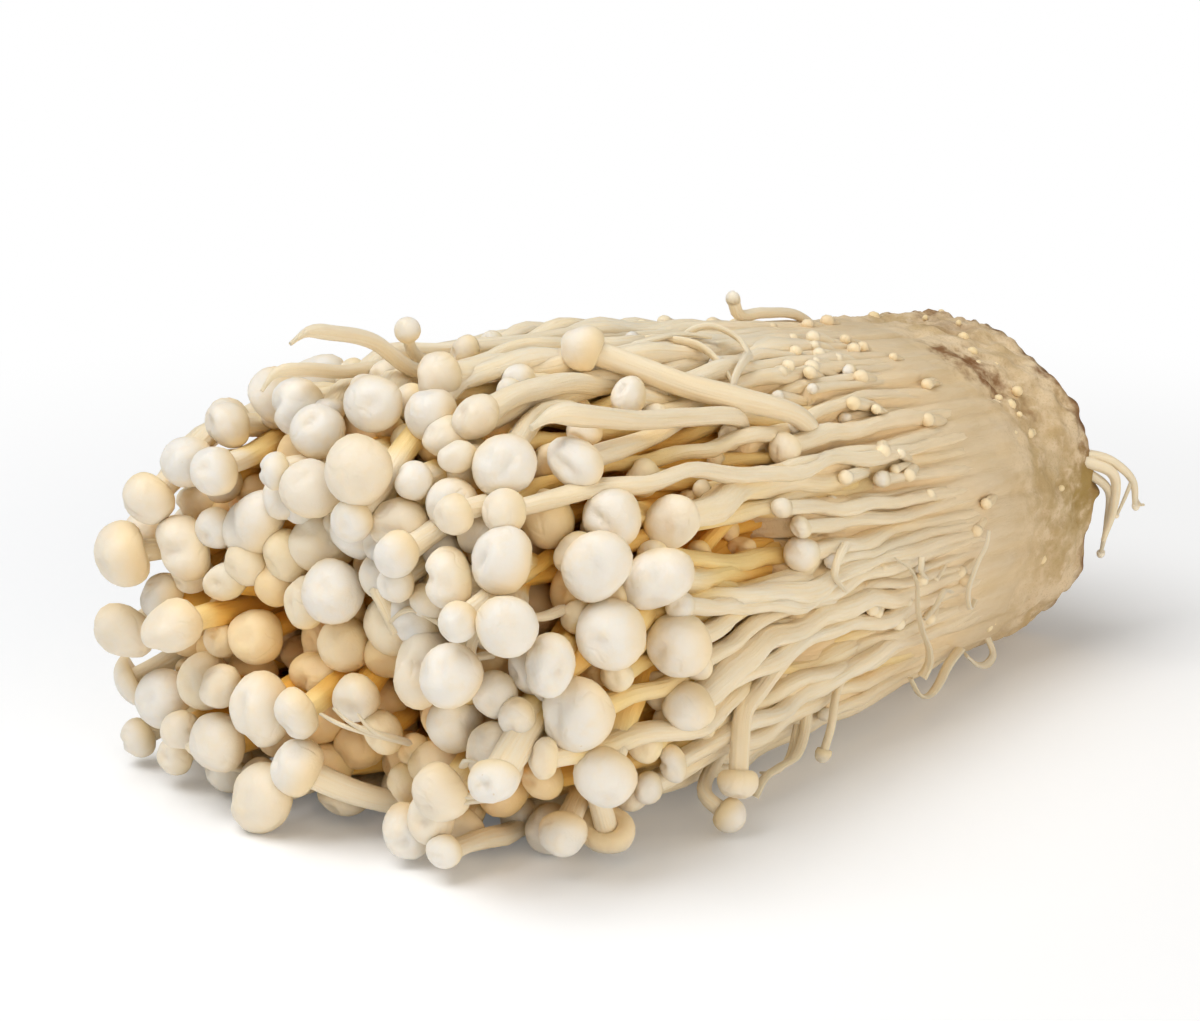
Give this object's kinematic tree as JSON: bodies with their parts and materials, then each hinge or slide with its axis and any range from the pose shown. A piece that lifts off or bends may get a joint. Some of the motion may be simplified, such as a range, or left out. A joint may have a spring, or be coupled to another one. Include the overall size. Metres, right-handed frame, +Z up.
{
  "type": "enoki mushroom bunch",
  "caption": "Bunch of fresh enoki mushrooms lying on its side: slender stems joined at a cut root mass, fanning out to small round caps.",
  "frame": {"origin": "centre of the bounding box's bottom face, on the surface that the bunch lies on", "axes": "+X along the bunch from the caps to the cut root end, +Y across it, +Z up"},
  "size_m": [0.1546, 0.0876, 0.0707],
  "materials": {
    "mushroom": "satin",
    "root": "matte"
  },
  "bodies": {
    "root": {"root_mass": "root", "tuft_core_01": "mushroom", "tuft_core_02": "mushroom", "tuft_core_03": "mushroom", "tuft_inner_01": "mushroom", "tuft_inner_02": "mushroom", "tuft_inner_03": "mushroom", "tuft_inner_04": "mushroom", "tuft_inner_05": "mushroom", "tuft_inner_06": "mushroom", "tuft_inner_07": "mushroom", "tuft_inner_08": "mushroom", "tuft_middle_01": "mushroom", "tuft_middle_02": "mushroom", "tuft_middle_03": "mushroom", "tuft_middle_04": "mushroom", "tuft_middle_05": "mushroom", "tuft_middle_06": "mushroom", "tuft_middle_07": "mushroom", "tuft_middle_08": "mushroom", "tuft_middle_09": "mushroom", "tuft_middle_10": "mushroom", "tuft_middle_11": "mushroom", "tuft_middle_12": "mushroom", "tuft_outer_01": "mushroom", "tuft_outer_02": "mushroom", "tuft_outer_03": "mushroom", "tuft_outer_04": "mushroom", "tuft_outer_05": "mushroom", "tuft_outer_06": "mushroom", "tuft_outer_07": "mushroom", "tuft_outer_08": "mushroom", "tuft_outer_09": "mushroom", "tuft_outer_10": "mushroom", "tuft_outer_11": "mushroom", "tuft_outer_12": "mushroom", "tuft_outer_13": "mushroom", "tuft_outer_14": "mushroom", "tuft_outer_15": "mushroom", "tuft_outer_16": "mushroom", "tuft_outer_17": "mushroom", "bare_stem_top_long": "mushroom", "bare_stem_top_short": "mushroom", "broken_stem_side": "mushroom", "folded_mushroom_side": "mushroom", "front_mushroom_large": "mushroom", "front_mushroom_long": "mushroom", "hanging_mushroom_front": "mushroom", "left_mushroom_front": "mushroom", "left_mushroom_lower": "mushroom", "left_mushroom_upper": "mushroom", "low_mushroom_side": "mushroom", "pin_mushroom_top": "mushroom", "thin_mushroom_side": "mushroom", "top_mushroom_large": "mushroom", "top_mushroom_small": "mushroom"}
  },
  "joints": []
}
